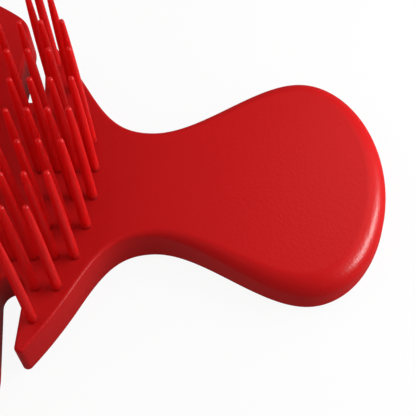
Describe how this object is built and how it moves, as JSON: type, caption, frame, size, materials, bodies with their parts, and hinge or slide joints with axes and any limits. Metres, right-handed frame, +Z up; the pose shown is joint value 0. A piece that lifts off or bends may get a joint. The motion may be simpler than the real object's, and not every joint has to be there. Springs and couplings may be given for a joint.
{
  "type": "leaf-shaped grooming brush",
  "caption": "Hand brush with a lobed leaf-shaped vented head, long tapered tines in rows and a short paddle handle.",
  "frame": {"origin": "middle of the bounding box's footprint, on the flat back that the brush lies on", "axes": "+X along the brush towards the end of the handle, +Y across it, +Z up along the tines"},
  "size_m": [0.1672, 0.092, 0.0325],
  "materials": {
    "body_plastic": "red moulded plastic, satin with a fine grain",
    "cover_plastic": "red moulded plastic, satin, slightly duller",
    "tine_plastic": "red moulded plastic, smooth and glossier than the body"
  },
  "bodies": {
    "root": {"brush_body": "body_plastic", "back_cover": "cover_plastic", "tine_row_base_1": "tine_plastic", "tine_row_base_2": "tine_plastic", "tine_row_base_3": "tine_plastic", "tine_row_base_4": "tine_plastic", "tine_strip_midrib": "tine_plastic", "tine_pad_left_1": "tine_plastic", "tine_pad_left_2": "tine_plastic", "tine_pad_left_3": "tine_plastic", "tine_pad_left_4": "tine_plastic", "tine_pad_right_1": "tine_plastic", "tine_pad_right_2": "tine_plastic", "tine_pad_right_3": "tine_plastic", "tine_pad_right_4": "tine_plastic"}
  },
  "joints": []
}
